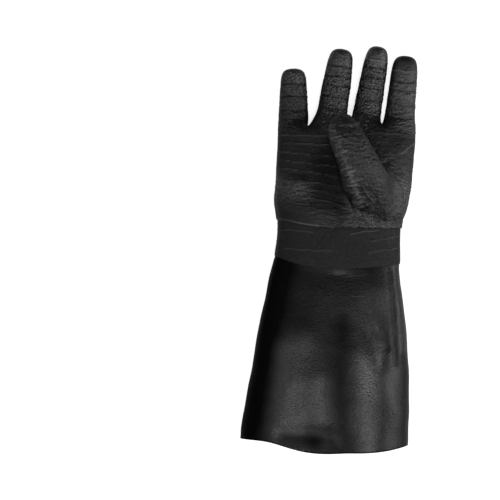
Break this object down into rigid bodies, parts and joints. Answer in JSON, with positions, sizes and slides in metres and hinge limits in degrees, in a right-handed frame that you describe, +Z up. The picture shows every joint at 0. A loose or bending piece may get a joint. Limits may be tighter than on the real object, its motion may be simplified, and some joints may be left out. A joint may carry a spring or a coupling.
{
  "type": "gauntlet glove",
  "caption": "Right-hand rubber gauntlet glove lying palm up, with a rough crinkled hand, a folded thumb and a long smooth flared sleeve.",
  "frame": {"origin": "middle of the glove's box, on the surface that it lies on", "axes": "+Y from the hem to the fingertips, +X towards the thumb's side, +Z up out of the palm"},
  "size_m": [0.188, 0.4298, 0.0686],
  "materials": {
    "smooth_neoprene": "glossy black with a fine orange-peel grain",
    "rough_neoprene": "satin black, crinkled"
  },
  "bodies": {
    "root": {"gauntlet": "smooth_neoprene", "wrist_band": "rough_neoprene", "hand": "rough_neoprene"}
  },
  "joints": []
}
